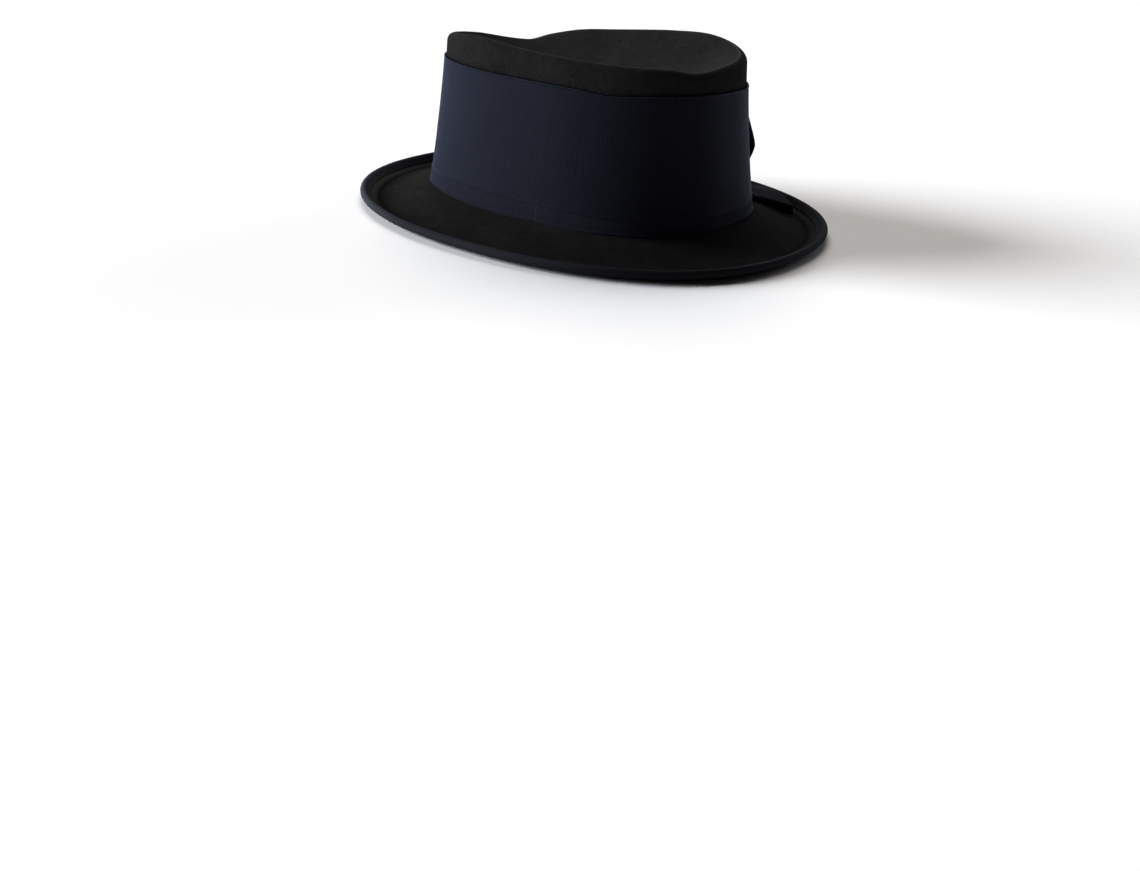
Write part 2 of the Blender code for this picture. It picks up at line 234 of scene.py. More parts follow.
def grid(name, columns, rows, place):
    """A sheet of columns and rows, put in place point by point; edges that meet are joined, and it keeps its UVs."""
    mesh = bmesh.new()
    mesh.loops.layers.uv.new("weave")
    bmesh.ops.create_grid(mesh, x_segments=columns, y_segments=rows, size=1, calc_uvs=True)
    for vert in mesh.verts:
        vert.co = place(round((vert.co.x + 1) / 2 * columns), round((vert.co.y + 1) / 2 * rows))
    bmesh.ops.remove_doubles(mesh, verts=mesh.verts, dist=MERGE_DISTANCE)
    data = bpy.data.meshes.new(name)
    mesh.to_mesh(data)
    mesh.free()
    data.shade_smooth()
    made = bpy.data.objects.new(name, data)
    bpy.context.scene.collection.objects.link(made)
    return made


def dress(piece, finish, wall, replaced):
    """Gives a sheet its wall, its finish and its place in the frame."""
    solid = piece.modifiers.new("wall", "SOLIDIFY")
    solid.thickness = wall
    solid.offset = -1
    solid.use_even_offset = True
    piece.data.materials.append(finish)
    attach(piece, "root")
    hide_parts(replaced)


DISH_MIDDLE = 0.09  # about the height of the dish's middle, where all columns meet
hood_profiles = [hood_profile(360 * k / HOOD_STATIONS) for k in range(HOOD_STATIONS)]


def hood_place(column, row):
    column %= HOOD_STATIONS
    radius, height, centre = hood_profiles[column][row]
    if radius < MERGE_DISTANCE:
        centre, height = crown_centre(DISH_MIDDLE), hood_profiles[0][row][1]
    return around(360 * column / HOOD_STATIONS, radius, height, centre)


hood = grid("felt_hood", HOOD_STATIONS, len(hood_profiles[0]) - 1, hood_place)

# Where the felt is rubbed pale along the top edge, with a painted highlight there too, and its painted light and
# shade:
# the bare crown and the inside of the curl painted lighter, and painted shade beside the ribbon's top edge, in the
# crease and under the low back edge of the dish
RUBBED_AND_HIGHLIGHT_WIDTH, RIBBON_MARGIN, CREASE_WIDTH, CURL_LIGHT_RAMP = 0.0008, 0.0009, 0.0010, 0.003
SHADED_BEARING, SHADED_SPREAD, SHADED_OUT, SHADED_WIDTH = 188, 26, 0.925, 0.05
CROWN_PAINTED_LIGHT, RIBBON_SHADE, BACK_SHADE, CREASE_SHADE = 0.65, 2.0, 2.2, 1.5
BRIM_TOP, CROWN_TOP = 0.03, 0.1


def fall_off(distance, width):
    """A bell curve: 1 at no distance and near 0 at twice the width."""
    return exp(-((distance / width) ** 2))


def crown_marks(x, y, z):
    """At a point of the crown: how pale the top edge is from rubbing and a painted highlight, and the felt's painted
    light and shade.
    """
    x -= crown_centre(min(z, CROWN_TOP))
    bearing, radius = degrees(atan2(y, x)), sqrt(x * x + y * y)
    crest = crown_radius(bearing, ridge_height(bearing) - RIDGE_RADIUS) - RIDGE_RADIUS
    # Painted shade on the dish's inner slope under its low back edge
    shaded = fall_off(radius / crest - SHADED_OUT, SHADED_WIDTH)
    shaded *= fall_off(bearing % 360 - SHADED_BEARING, SHADED_SPREAD)
    # Painted shadow on the felt just above the ribbon's top edge
    above = z - RIBBON_TOP - eased_round(RIBBON_TOP_WAVE, bearing)
    beside = exp(-max(above, 0) / RIBBON_MARGIN) if radius > crest + RIDGE_RADIUS / 2 else 0
    # The bare crown is painted paler than the brim: painted light that stands in for the light on the dish
    return fall_off(radius - crest, RUBBED_AND_HIGHLIGHT_WIDTH), CROWN_PAINTED_LIGHT - RIBBON_SHADE * beside - BACK_SHADE * shaded


def brim_marks(x, y):
    """At a point of the brim: no pale top edge, and the felt's painted light and shade."""
    bearing = degrees(atan2(y, x))
    into = sqrt(x * x + y * y) - curl_start(bearing)
    # The curl's inner face is painted lighter, most towards the front and back ends: painted light
    curl_painted_light = 1.2 + (3.2 - 1.6 * cos(radians(bearing - PAINTED_LIGHT_BEARING))) * painted_end_light(bearing)
    # The crease gets a band of painted shade
    return 0.0, curl_painted_light * clamped(into / CURL_LIGHT_RAMP) - CREASE_SHADE * fall_off(into, CREASE_WIDTH)


# Per point: the pale top edge, partly rubbed and partly a painted highlight, and the felt's painted light and shade
wear_and_highlight = hood.data.attributes.new("wear_and_highlight", "FLOAT", "POINT")
painted_light_shade = hood.data.attributes.new("painted_light_shade", "FLOAT", "POINT")
for k, vert in enumerate(hood.data.vertices):
    x, y, z = vert.co
    wear_and_highlight.data[k].value, painted_light_shade.data[k].value = crown_marks(x, y, z) if z > BRIM_TOP else brim_marks(x, y)


class Shade:
    """A number that changes over a surface, so that a sum written in Python becomes Math nodes."""

    def __init__(self, finish, socket):
        self.finish, self.socket = finish, socket

    def _math(self, operation, first, second):
        return self.finish.node("ShaderNodeMath", {0: first, 1: second}, operation=operation)

    def __add__(self, other):
        return self._math("ADD", self, other)

    def __sub__(self, other):
        return self._math("SUBTRACT", self, other)

    def __rsub__(self, other):
        return self._math("SUBTRACT", other, self)

    def __mul__(self, other):
        return self._math("MULTIPLY", self, other)


class Finish:
    """A material that is built node by node on one Principled shader."""

    def __init__(self, name, **constants):
        self.material = bpy.data.materials.new(name)
        self.material.use_nodes = True
        self.tree = self.material.node_tree
        self.shader = self.tree.nodes["Principled BSDF"]
        for socket, value in constants.items():
            self.shader.inputs[socket.replace("_", " ")].default_value = value

    def node(self, kind, sockets, output=0, **settings):
        """Adds a node, sets it up, feeds its sockets and gives back one of its outputs."""
        made = self.tree.nodes.new(kind)
        for key, value in settings.items():
            setattr(made, key, value)
        for key, value in sockets.items():
            self.feed(made.inputs[key], value)
        return Shade(self, made.outputs[output])

    def feed(self, socket, value):
        if isinstance(value, Shade):
            self.tree.links.new(value.socket, socket)
        else:
            socket.default_value = value

    def attribute(self, name):
        return self.node("ShaderNodeAttribute", {}, output=2, attribute_name=name)

    def ranged(self, value, low, high, start=0, end=1):
        """A number that goes from start to end while the value goes from low to high."""
        return self.node("ShaderNodeMapRange", {0: value, 1: low, 2: high, 3: start, 4: end})

    def blend(self, share, low, high):
        """A colour on the line through two others, at most a quarter of the way beyond the first."""
        share = self.node("ShaderNodeMath", {0: share, 1: -0.25}, operation="MAXIMUM")
        return self.node("ShaderNodeMix", {0: share, 6: low, 7: high}, output=2, data_type="RGBA", clamp_factor=False)

    def bump(self, height, distance, strength, under=None):
        sockets = {"Height": height, "Distance": distance, "Strength": strength}
        if under:
            sockets["Normal"] = under
        return self.node("ShaderNodeBump", sockets)

    def noise(self, where, scale, detail, roughness):
        sockets = {"Vector": where, "Scale": scale, "Detail": detail, "Roughness": roughness}
        return self.node("ShaderNodeTexNoise", sockets)


FELT_DARK, FELT_PALE = (0.0125, 0.0112, 0.0110, 1), (0.042, 0.0385, 0.037, 1)

felt = Finish(
    "black wool felt",
    Roughness=0.92,
    Sheen_Weight=0.02,
    Sheen_Roughness=0.5,
    Sheen_Tint=(0.85, 0.82, 0.82, 1),
    Specular_IOR_Level=0.03,
)
on_felt = felt.node("ShaderNodeTexCoord", {}, output=3)
clouds = felt.noise(on_felt, 34, 3, 0.6)
fibres = felt.noise(on_felt, 2600, 5, 0.65)
tufts = felt.noise(on_felt, 620, 4, 0.6)
matted = felt.noise(on_felt, 150, 3, 0.55)
speckled = felt.ranged(tufts, 0.35, 0.72)
rubbed_and_highlight, felt_painted_light_shade = felt.attribute("wear_and_highlight"), felt.attribute("painted_light_shade")
# pale sums random mottling, the top edge's rubbing and painted highlight, and the painted light and shade
pale = clouds * 0.45 + matted * 0.45 + speckled * 0.26 + fibres * 0.40 + felt_painted_light_shade * 0.25 + rubbed_and_highlight * 0.85 - 0.67
felt.feed(felt.shader.inputs["Base Color"], felt.blend(pale, FELT_DARK, FELT_PALE))
nap = felt.bump(matted, 0.0005, 0.35)
nap = felt.bump(tufts, 0.0003, 0.5, nap)
felt.feed(felt.shader.inputs["Normal"], felt.bump(fibres, 0.00016, 0.7, nap))
dress(hood, felt.material, FELT_WALL, "felt_body")

# ---------------------------------------------------------------------------------------------------------------
# The wide ribbon is grosgrain: thick weft threads run across it as upright ribs, and a plain selvedge closes each
# edge. It is drawn tight round the crown and stitched at the bow, so its edges wave a little.

RIB_PITCH, RIB_RISE, RIBS_COLUMNS = 0.00112, 0.00012, 4
CLOTH, UNDER_CLOTH = 0.0007, 0.0002
THREAD_PITCH = 0.00032

# A selvedge's woven bead and the groove beside it: rise, distance in from the edge, half width
BEAD, GROOVE = (0.00030, 0.0004, 0.00035), (-0.00022, 0.0014, 0.0003)
# Where the rows beside a ribbon's edge lie, in metres from it
EDGE_ROWS = (0, 0.0003, 0.0006, 0.0010, 0.0014, 0.0018, 0.0025)


def selvedge(share, width):
    """The rise of a plain woven edge and the groove beside it, at a share of the ribbon's width."""
    rim = min(share, 1 - share) * width
    return sum(rise * fall_off(rim - at, half) for rise, at, half in (BEAD, GROOVE))


def rows_with_edges(count, width):
    """Shares across a ribbon that crowd towards both edges, where the selvedge needs them."""
    inner = [EDGE_ROWS[-1] + (width - 2 * EDGE_ROWS[-1]) * k / count for k in range(1, count)]
    return [at / width for at in list(EDGE_ROWS) + inner + [width - at for at in EDGE_ROWS[::-1]]]


def ribbed(number, room):
    """The rise of the ribs at a column or row, fading out towards a ribbon's edges as room goes to 0."""
    return RIB_RISE * abs(sin(pi * number / RIBS_COLUMNS)) * min(1, room)


RIBBON_GIRTH, RIBBON_INNER_ROWS = 0.556, 9
RIBBON_RIBS = round(RIBBON_GIRTH / RIB_PITCH)
RIBBON_SLACK, RIBBON_FLARE, RIBBON_FLARE_HEIGHT, RIB_END = 0.00035, 0.0004, 0.0015, 0.0008
ribbon_columns = RIBBON_RIBS * RIBS_COLUMNS
ribbon_shares = rows_with_edges(RIBBON_INNER_ROWS, RIBBON_HEIGHT)


def ribbon_place(column, row):
    bearing = 360 * (column % ribbon_columns) / ribbon_columns
    share = ribbon_shares[row]
    foot = FOOT_HEIGHT + FOOT_BAND_HEIGHT - CLEARANCE + eased_round(RIBBON_FOOT_WAVE, bearing)
    top = RIBBON_TOP + eased_round(RIBBON_TOP_WAVE, bearing)
    height = foot + (top - foot) * share
    slack = RIBBON_SLACK * abs(unevenness(bearing, height * 1.7, seed=21)) * sin(pi * share)
    slack += RIBBON_FLARE * exp(-share * RIBBON_HEIGHT / RIBBON_FLARE_HEIGHT)
    radius = crown_radius(bearing, height) + CLEARANCE + CLOTH + UNDER_CLOTH + slack
    radius += ribbed(column, min(share, 1 - share) * RIBBON_HEIGHT / RIB_END)
    if share > 0.5:
        radius += selvedge(share, RIBBON_HEIGHT)
    return around(bearing, radius, height, crown_centre(height))


def grosgrain(
    name,
    colour,
    bright,
    ribs_round,
    width,
    across=1,
    sheen=0.48,
    gloss=0.05,
    rough=0.66,
    rim_light=0.3,
    tint=(0.56, 0.64, 1, 1),
):
    """Grosgrain on a sheet's own UVs: ribs_round ribs along u, or along v where across is 0."""
    made = Finish(
        name,
        Sheen_Weight=sheen,
        Sheen_Roughness=0.36,
        Sheen_Tint=tint,
        Specular_IOR_Level=gloss,
        Specular_Tint=(0.65, 0.75, 1, 1),
    )
    where = made.node("ShaderNodeUVMap", {}, uv_map="weave")
    along = made.node("ShaderNodeSeparateXYZ", {0: where}, output=0 if across else 1)
    up = made.node("ShaderNodeSeparateXYZ", {0: where}, output=1 if across else 0)
    ribs = made.node("ShaderNodeMath", {0: along * (ribs_round * pi)}, operation="SINE")
    ribs = made.node("ShaderNodeMath", {0: ribs}, operation="ABSOLUTE")
    threads = made.node("ShaderNodeMath", {0: up * (width / THREAD_PITCH * pi) + ribs * 1.2}, operation="SINE")
    slubs = made.node("ShaderNodeCombineXYZ", {0: along * (ribs_round / 2), 1: up * 1.5})
    slubs = made.noise(slubs, 2.0, 3, 0.6)
    dust = made.noise(made.node("ShaderNodeTexCoord", {}, output=3), 260, 3, 0.6)
    # edge paints light along the top edge, or a painted shadow where rim_light is below 0
    edge = made.ranged((1 - up) * width, 0.0006, 0.0010, 1, 0)
    # groove: painted shade along the groove beside each edge
    inside_groove = made.node("ShaderNodeMath", {0: up, 1: 1 - up}, operation="MINIMUM") * width - GROOVE[1]
    groove = made.ranged(inside_groove, 0.0002, 0.0005, 1, 0) * made.ranged(inside_groove, -0.0005, -0.0002)
    # The binding's painted light and shade, read from its attribute; the other ribbons have none
    cloth_painted_light_shade = made.attribute("painted_light_shade")
    share = slubs * 0.55 + ribs * 0.35 + dust * 0.25 + edge * rim_light + cloth_painted_light_shade - groove * 0.35 - 0.20
    made.feed(made.shader.inputs["Base Color"], made.blend(share, colour, bright))
    made.feed(made.shader.inputs["Roughness"], rough - ribs * 0.12 + dust * 0.06)
    made.feed(made.shader.inputs["Normal"], made.bump(threads * 0.25 + slubs * 0.6, 0.00006, 0.5))
    return made


ribbon = grid("ribbon_wrap", ribbon_columns, len(ribbon_shares) - 1, ribbon_place)
navy = grosgrain(
    "navy grosgrain",
    (0.0088, 0.0092, 0.0138, 1),
    (0.0204, 0.0214, 0.0312, 1),
    RIBBON_RIBS,
    RIBBON_HEIGHT,
    # A painted highlight along the ribbon's top edge
    rim_light=1.3,
)
dress(ribbon, navy.material, CLOTH, "ribbon_band")

# ---------------------------------------------------------------------------------------------------------------
# A narrow strip of grosgrain lies round the crown's foot, below the wide ribbon, with its lower edge on the turn to
# the brim. Its colour is painted lighter than the wide ribbon's, as painted light. Its ends overlap on the wearer's
# right, where the outer end lies over the tucked inner one.

STRIP_LAP_BEARING, STRIP_LAP, STRIP_LAP_END = 282.5, 8.0, 5
STRIP_RIBS, STRIP_WIDTH, STRIP_RIB_END = 530, 0.0115, 0.08
# The share of the strip that lies on the turn, and how far round the turn it reaches
STRIP_ON_TURN, STRIP_TURN = 0.22, 0.5
# How far the strip is pressed in at its top, at its lower edge and at its tucked end
STRIP_TOP_PRESS, STRIP_FOOT_PRESS, STRIP_TUCK = 0.0005, 0.0005, 0.0006

# How the strip's lower edge wanders from level: bearing, metres up
STRIP_FOOT_WAVE = (
    (212, 0.0008), (225, 0.0010), (238, 0.0004), (256, -0.0003), (276, -0.0003), (282, 0.0003), (294, -0.0005),
    (303, -0.0001), (312, 0.0003), (328, -0.0001), (343, 0.0003), (352, 0.0004), (362, 0.0007), (380, 0.0006),
    (450, 0), (520, 0.0003),
)  # fmt: skip

strip_columns = STRIP_RIBS * RIBS_COLUMNS
strip_shares = [0, 0.03, 0.07, 0.12, 0.18, 0.25, 0.34, 0.44, 0.55, 0.66, 0.77, 0.86, 0.93, 0.97, 1]


def strip_row(bearing, share):
    """A row of the felt under the strip, from its lower edge on the turn up to its top."""
    if share < STRIP_ON_TURN:
        return break_row(bearing, STRIP_TURN * (1 - share / STRIP_ON_TURN))
    up = (share - STRIP_ON_TURN) / (1 - STRIP_ON_TURN)
    height = BREAK_TOP + (FOOT_HEIGHT + FOOT_BAND_HEIGHT - BREAK_TOP) * up
    return (crown_radius(bearing, height), height, crown_centre(height))


def strip_place(column, row):
    turned = column / strip_columns * (360 + STRIP_LAP)
    bearing = STRIP_LAP_BEARING + turned
    share = strip_shares[row]
    radius, height, centre = strip_row(bearing, share)
    height += eased_round(STRIP_FOOT_WAVE, bearing) * (1 - share) ** 2
    height += eased_round(RIBBON_FOOT_WAVE, bearing) * share**2
    lap = 0.4 * CLOTH * smooth(1 - clamped((turned - STRIP_LAP) / STRIP_LAP_END))
    pressed = STRIP_TOP_PRESS * exp(-(1 - share) / 0.05) + STRIP_FOOT_PRESS * (1 - share) ** 2
    pressed += STRIP_TUCK * exp(-turned / 0.25)
    radius += CLEARANCE + CLOTH + UNDER_CLOTH + lap - pressed + selvedge(share, STRIP_WIDTH)
    radius += ribbed(column, min(share, 1 - share) / STRIP_RIB_END)
    return around(bearing, radius, height, centre)


strip = grid("foot_strip", strip_columns, len(strip_shares) - 1, strip_place)
strip_navy = grosgrain(
    "navy foot grosgrain",
    # Lighter than the wide ribbon's colours: painted light for the light the brim keeps off the strip
    (0.0138, 0.0142, 0.0195, 1),
    (0.0310, 0.0322, 0.0430, 1),
    STRIP_RIBS,
    STRIP_WIDTH,
    gloss=0.02,
    rough=0.8,
    # A painted shadow along the strip's top edge, under the ribbon's foot
    rim_light=-0.9,
)
dress(strip, strip_navy.material, CLOTH, "foot_band")

# ---------------------------------------------------------------------------------------------------------------
# The binding is a narrow grosgrain folded over the brim's edge and stitched through, so it shows as a rounded lip
# with its ribs across the edge and an inner edge that stands a little proud of the felt.

BINDING_WIDTH, BINDING_RIBS, BINDING_COLUMNS = 0.0047, 790, 3
TIP_ROWS, FACE_ROWS = 8, 8
# The tape's whole width, its thickness, how thin it lies on the felt at its edges and the rise of its ribs
BINDING_TAPE, BINDING_CLOTH, BINDING_EDGE, BINDING_RIB_RISE = 0.014, 0.0005, 0.0006, 0.00010
# The stitched dip beside each edge: depth, and its place and half width as shares of the tape
STITCH_DEPTH, STITCH_AT, STITCH_WIDTH = 0.00015, 0.09, 0.03
# Where the binding is painted darkest, as painted shade: bearing and how far to each side
DARK_BEARING, DARK_SPREAD = -42, 22


def binding_line():
    """The section of the binding: (turn on the curl, swing round the tip, side of the felt) from outside to inside."""
    start = CURL_ANGLE - degrees(BINDING_WIDTH / CURL_RADIUS)
    outside = [(start + (CURL_ANGLE - start) * k / FACE_ROWS, None, 1) for k in range(FACE_ROWS + 1)]
    tip = [(CURL_ANGLE, k / TIP_ROWS, 0) for k in range(1, TIP_ROWS)]
    inside = [(CURL_ANGLE - (CURL_ANGLE - start) * k / FACE_ROWS, None, -1) for k in range(FACE_ROWS + 1)]
    return outside + tip + inside


binding_columns = BINDING_RIBS * BINDING_COLUMNS
binding_rows = binding_line()


def binding_place(column, row):
    bearing = 360 * (column % binding_columns) / binding_columns
    turn, swing, side = binding_rows[row]
    share = row / (len(binding_rows) - 1)
    rim = min(share, 1 - share)
    rise = BINDING_RIB_RISE * abs(sin(pi * column / BINDING_COLUMNS)) * min(1, rim / 0.05)
    rise -= STITCH_DEPTH * fall_off(rim - STITCH_AT, STITCH_WIDTH)
    rise += 0.0001 * unevenness(bearing, share * 0.2, seed=31)
    thin = FELT_WALL / 2 + BINDING_EDGE
    reach = thin + (BEAD_HALF - thin) * smooth(min(rim / 0.34, 1)) + rise
    if swing is None:
        radius, height, _ = curl_row(bearing, turn, side * reach)
    else:
        radius, height, _ = curl_row(bearing, CURL_ANGLE, 0)
        swung = radians(CURL_ANGLE - 90 + 180 * swing)
        radius, height = radius + reach * cos(swung), height + reach * sin(swung)
    return around(bearing, radius, height)


binding = grid("edge_ribbon", binding_columns, len(binding_rows) - 1, binding_place)
# Painted light at the brim's front and back ends, and painted shade round DARK_BEARING
binding_painted_light_shade = binding.data.attributes.new("painted_light_shade", "FLOAT", "POINT")
for k, vert in enumerate(binding.data.vertices):
    bearing = degrees(atan2(vert.co.y, vert.co.x))
    binding_painted_light_shade.data[k].value = 1.5 * painted_end_light(bearing) - 0.6 * fall_off(bearing - DARK_BEARING, DARK_SPREAD)
bound = grosgrain(
    "navy edge grosgrain",
    (0.0235, 0.0236, 0.0275, 1),
    (0.0455, 0.0458, 0.0525, 1),
    BINDING_RIBS,
    BINDING_TAPE,
    sheen=0.04,
    gloss=0,
    rough=0.9,
    rim_light=0,
    tint=(0.85, 0.88, 1, 1),
)
dress(binding, bound.material, BINDING_CLOTH, "edge_binding")

# ---------------------------------------------------------------------------------------------------------------
# The bow lies flat on the wearer's left: two loops of ribbon, one to the front and one behind, that puff out a
# little where they fold back.

BOW_BEARING, BOW_RISE = 63.0, 0.047
BOW_MIDDLE = FOOT_HEIGHT + BOW_RISE
BOW_DARK, BOW_BRIGHT, BOW_RIBS_SHARE = (0.0085, 0.0088, 0.0120, 1), (0.0190, 0.0200, 0.0265, 1), 0.6
LOOP_LENGTH, LOOP_HEIGHT, LOOP_GAP, LOOP_PUFF, LOOP_BELLY = 0.038, 0.046, 0.0012, 0.0064, 0.0031

# A loop seen from above: distance from the knot, stand-off and height, as shares of the sizes above
LOOP = (
    (0.00, 0.08, 0.46), (0.22, 0.05, 0.50), (0.41, 0.05, 0.72), (0.60, 0.05, 0.92), (0.92, 0.06, 1.00),
    (1.00, 0.32, 1.00), (0.95, 0.72, 1.00), (0.75, 0.98, 0.97), (0.45, 0.96, 0.80), (0.20, 0.58, 0.50),
    (0.00, 0.52, 0.46),
)  # fmt: skip
# How far below its middle a loop puffs out most, as a share of half its height, and the depth of its pleats
LOOP_RIBS, LOOP_ROWS, LOOP_SAG, PLEAT_DEPTH = 76, 24, 0.50, 0.0009


def on_ribbon(bearing, height, stand_off):
    """A point off the wide ribbon's outer face."""
    radius = crown_radius(bearing, height) + 2 * CLEARANCE + RIBBON_WALL + stand_off
    return around(bearing, radius, height, crown_centre(height))


def bearing_step(length):
    return degrees(length / crown_radius(BOW_BEARING, BOW_MIDDLE))


def tables(along, line):
    """One table for each part of a line's rows, by the distance along the line."""
    return [[(at, row[part]) for at, row in zip(along, line)] for part in range(len(line[0]))]


loop_run = runs([(out * LOOP_LENGTH, off * LOOP_PUFF) for out, off, _ in LOOP])
loop_tables = tables(loop_run, LOOP)


def bow_loop(name, way, replaced):
    """One flat loop: way is -1 for the loop to the front and 1 for the one behind."""

    def place(column, row):
        run = loop_run[-1] * column / (LOOP_RIBS * RIBS_COLUMNS)
        run = run if way < 0 else loop_run[-1] - run
        along, off, share = (eased(table, run) for table in loop_tables)
        up = 2 * row / LOOP_ROWS - 1
        height = BOW_MIDDLE + up * share * LOOP_HEIGHT / 2
        belly = off * along * LOOP_BELLY * (1 - abs(up + LOOP_SAG * (1 - up * up)) ** 1.6)
        pleat = PLEAT_DEPTH * off * exp(-along * 3.2) * sin(up * 7.5 + 0.6)
        rise = BOW_RIBS_SHARE * ribbed(column, (1 - abs(up)) * 12)
        low = (up + LOOP_SAG) / (1 + LOOP_SAG if up > -LOOP_SAG else 1 - LOOP_SAG)
        puff = max(off, 0.02) * LOOP_PUFF * (1 - 0.90 * abs(low) ** 1.3)
        aside = way * bearing_step(LOOP_GAP / 2 + max(along, 0) * LOOP_LENGTH)
        return on_ribbon(BOW_BEARING + aside, height, puff + belly + pleat + rise)

    made = grid(name, LOOP_RIBS * RIBS_COLUMNS, LOOP_ROWS, place)
    dress(made, bow_navy.material, CLOTH, replaced)


bow_navy = grosgrain(
    "navy bow grosgrain", BOW_DARK, BOW_BRIGHT, LOOP_RIBS, LOOP_HEIGHT, sheen=0.12, gloss=0.02, rough=0.8
)
bow_loop("bow_front_loop", -1, "bow_loop_front")
bow_loop("bow_back_loop", 1, "bow_loop_back")

# ---------------------------------------------------------------------------------------------------------------
# The knot is a strap of the same ribbon that is drawn over the middle of the loops, with both ends tucked behind.

KNOT_WIDTH, KNOT_HEIGHT, KNOT_PUFF = 0.014, 0.034, 0.0068
KNOT_CROWN, KNOT_CREASE, KNOT_PINCH = 0.0010, 0.0003, 0.10
KNOT_RIBS, KNOT_COLUMNS = 44, 20

# The knot from its foot to its top: height as a share of half of KNOT_HEIGHT, stand-off as a share of KNOT_PUFF
KNOT = (
    (-1.00, 0.00), (-0.97, 0.40), (-0.82, 0.78), (-0.45, 0.94), (0, 1), (0.45, 0.94), (0.82, 0.78), (0.97, 0.40),
    (1, 0),
)  # fmt: skip
knot_run = runs([(up * KNOT_HEIGHT / 2, off * KNOT_PUFF) for up, off in KNOT])
knot_tables = tables(knot_run, KNOT)


def knot_place(column, row):
    run = knot_run[-1] * row / (KNOT_RIBS * RIBS_COLUMNS)
    up, off = (eased(table, run) for table in knot_tables)
    side = 2 * column / KNOT_COLUMNS - 1
    rise = BOW_RIBS_SHARE * ribbed(row, (1 - abs(side)) * 9)
    crown = (KNOT_CROWN * (1 - side * side) - KNOT_CREASE * sin(side * 8)) * (1 - up * up)
    across = side * KNOT_WIDTH / 2 * (1 - KNOT_PINCH * (1 - abs(up)))
    stand_off = max(off, 0) * KNOT_PUFF + RIBBON_WALL + rise + crown
    return on_ribbon(BOW_BEARING + bearing_step(across), BOW_MIDDLE + up * KNOT_HEIGHT / 2, stand_off)


knot = grid("bow_strap", KNOT_COLUMNS, KNOT_RIBS * RIBS_COLUMNS, knot_place)
knot_navy = grosgrain(
    "navy knot grosgrain", BOW_DARK, BOW_BRIGHT, KNOT_RIBS, KNOT_WIDTH, across=0, sheen=0.12, gloss=0.02, rough=0.8
)
dress(knot, knot_navy.material, CLOTH, "bow_knot")

# ---------------------------------------------------------------------------------------------------------------
# The tail is the end of the bow's ribbon. It is gathered under the knot, hangs down the crown and fans out over
# the brim, where the middle of its cut end arches clear of the felt and its corners droop.

TAIL_BEARING, TAIL_ROOT_WIDTH, TAIL_END_WIDTH, TAIL_MEAN_WIDTH, TAIL_LIFT = 50.0, 0.026, 0.056, 0.04, 0.0040
TAIL_OUT, TAIL_UP = (1.08, 0.81, 0.54, 0.30), (0.0, 0.35, 0.70, 1.0)
TAIL_ARCH = (1.7, 1.45, 0.95, 0.4)
TAIL_RIBS, TAIL_COLUMNS = 56, 28
# The front edge curls under: from this share of half the width, by this share of the width, and so far down
TAIL_CURL_FROM, TAIL_CURL_WIDTH, TAIL_CURL_DROP = 0.84, 0.02, 0.0014
# How much the corners droop, at the front and behind, how slanted the end is cut, and the depth of the gathers
FRONT_DROOP, BACK_DROOP, TAIL_SLANT, GATHER_DEPTH = 0.55, 0.30, 0.10, 0.0007


def tail_rows(bearing, lift, spread, cut):
    """The tail at a bearing, from its end on the brim up to the knot, arched off the felt and the foot strip."""
    outs = [TAIL_OUT[-1] + (out - TAIL_OUT[-1]) * cut for out in TAIL_OUT]
    rows = [brim_row(bearing, out, lift + TAIL_LIFT * arch * spread) for out, arch in zip(outs, TAIL_ARCH)]
    low = FOOT_HEIGHT + 2 * BREAK_RADIUS
    high = BOW_MIDDLE - KNOT_HEIGHT / 2 - RIBBON_WALL - 2 * CLEARANCE
    for up in TAIL_UP:
        height = low + (high - low) * up
        off = RIBBON_WALL + 2 * CLEARANCE + BREAK_RADIUS * (1 - up) ** 3
        rows.append((crown_radius(bearing, height) + off, height, crown_centre(height)))
    return rows


tail_lift = 2 * (RIBBON_WALL + CLEARANCE)
tail_middle = tail_rows(TAIL_BEARING, tail_lift, 1, 1)
tail_run = runs([(radius, height) for radius, height, _ in tail_middle])
tail_radii = tables(tail_run, tail_middle)[0]


def tail_place(column, row):
    share = row / (TAIL_RIBS * RIBS_COLUMNS)
    run = tail_run[-1] * share
    side = 2 * column / TAIL_COLUMNS - 1
    width = TAIL_END_WIDTH + (TAIL_ROOT_WIDTH - TAIL_END_WIDTH) * share
    curl = smooth(clamped((-TAIL_CURL_FROM - side) / (1 - TAIL_CURL_FROM)))
    bearing = TAIL_BEARING + (BOW_BEARING - TAIL_BEARING) * share
    bearing += degrees((side / 2 + curl * TAIL_CURL_WIDTH) * width / eased(tail_radii, run))
    droop = FRONT_DROOP * max(-side, 0) ** 1.3 + BACK_DROOP * max(side, 0) ** 2
    cut = 1 - TAIL_SLANT * (1 - side)
    rows = tail_rows(bearing, tail_lift - curl * TAIL_CURL_DROP, (1 - droop) * (1 - curl), cut)
    radius, height, centre = (eased(table, run) for table in tables(tail_run, rows))
    away = GATHER_DEPTH * (1 + sin(side * 9 + 1)) * share * share + BOW_RIBS_SHARE * ribbed(row, (1 - abs(side)) * 14)
    radius += (RIBBON_WALL + away) * min(1, share * 2)
    return around(bearing, radius, height + away * (1 - share), centre)


tail = grid("bow_end", TAIL_COLUMNS, TAIL_RIBS * RIBS_COLUMNS, tail_place)
tail_navy = grosgrain(
    "navy tail grosgrain",
    (0.0100, 0.0104, 0.0130, 1),
    (0.0225, 0.0235, 0.0290, 1),
    TAIL_RIBS,
    TAIL_MEAN_WIDTH,
    across=0,
    sheen=0.25,
    gloss=0,
    rough=0.9,
    tint=(0.9, 0.92, 1, 1),
)
dress(tail, tail_navy.material, CLOTH, "bow_tail")

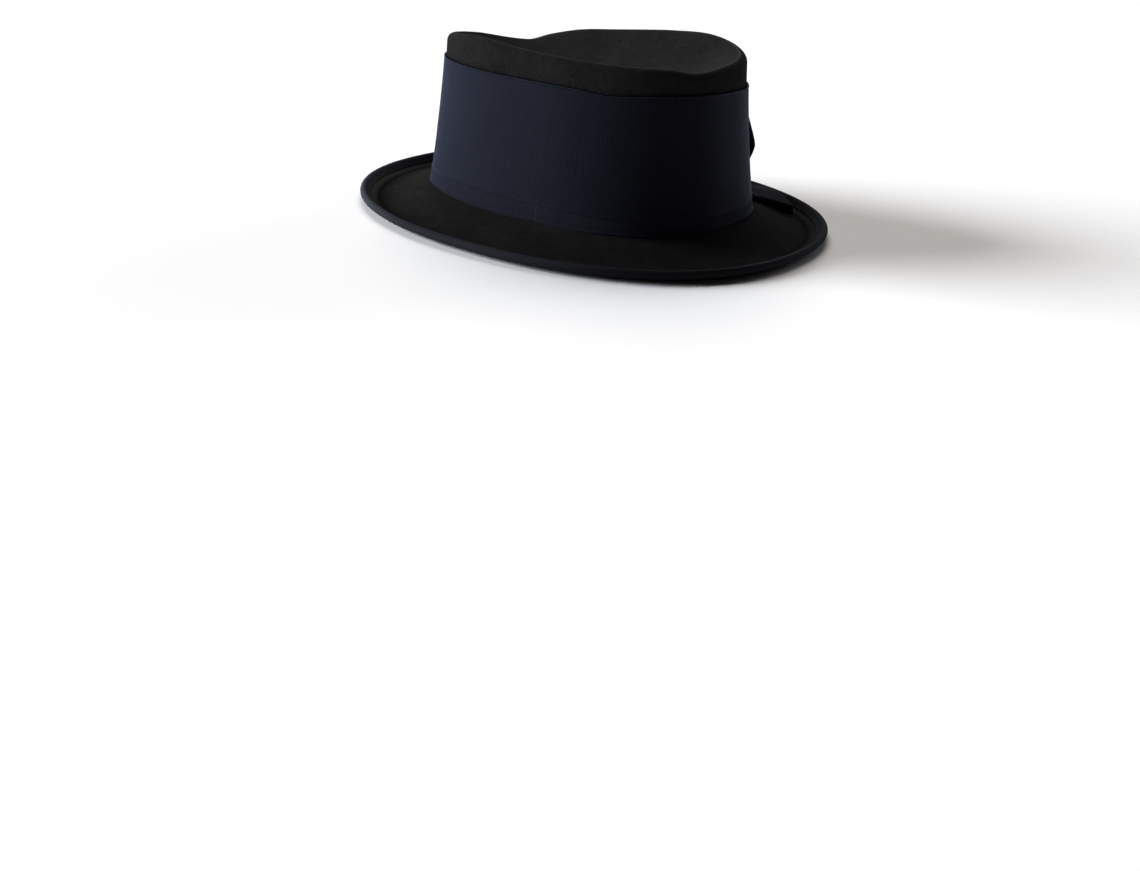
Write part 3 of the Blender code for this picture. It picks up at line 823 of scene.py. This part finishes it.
# ---------------------------------------------------------------------------------------------------------------
# The studio: a wide pale floor and three wide soft lights: a strong one low behind the wearer's right, a weak one
# low on the wearer's left and one high behind that side, so that the side towards the camera stays darkest.

FLOOR_HALF, FLOOR_DROP = 14, 0.0001

mesh = bmesh.new()
bmesh.ops.create_grid(mesh, x_segments=1, y_segments=1, size=FLOOR_HALF)
for vert in mesh.verts:
    vert.co.z = -FLOOR_DROP
floor_mesh = bpy.data.meshes.new("floor")
mesh.to_mesh(floor_mesh)
mesh.free()
floor = bpy.data.objects.new("floor", floor_mesh)
bpy.context.scene.collection.objects.link(floor)
pale_floor = Finish("pale floor", Base_Color=(0.94, 0.91, 0.89, 1), Roughness=0.8, Specular_IOR_Level=0.1)
floor.data.materials.append(pale_floor.material)


def soft_light(name, comes_from, strength, spread, colour):
    """A wide soft light that comes from this direction."""
    data = bpy.data.lights.new(name, "SUN")
    data.energy, data.angle, data.color = strength, radians(spread), colour
    made = bpy.data.objects.new(name, data)
    made.rotation_euler = Vector(comes_from).to_track_quat("Z", "Y").to_euler()
    bpy.context.scene.collection.objects.link(made)


soft_light("right light", (-0.85, -0.55, 0.30), 7.0, 34, (0.88, 0.94, 1))
soft_light("left light", (0.16, 0.96, 0.27), 0.74, 26, (0.97, 0.98, 1))
soft_light("back light", (-0.45, 0.55, 0.70), 2.0, 40, (1, 0.99, 0.97))

world = bpy.data.worlds.new("studio")
world.use_nodes = True
background = world.node_tree.nodes["Background"]
background.inputs["Color"].default_value = (0.95, 0.97, 1, 1)
background.inputs["Strength"].default_value = 0.03
bpy.context.scene.world = world
bpy.context.scene.view_settings.view_transform = "Standard"
bpy.context.scene.view_settings.gamma = 0.8

camera_data = bpy.data.cameras.new("camera")
camera_data.lens, camera_data.sensor_width = 41.53, 36
camera = bpy.data.objects.new("camera", camera_data)
camera.location = (0.45463, -0.67332, 0.22343)
camera.rotation_euler = [radians(angle) for angle in (64.808, -3.662, 35.979)]
bpy.context.scene.collection.objects.link(camera)
bpy.context.scene.camera = camera
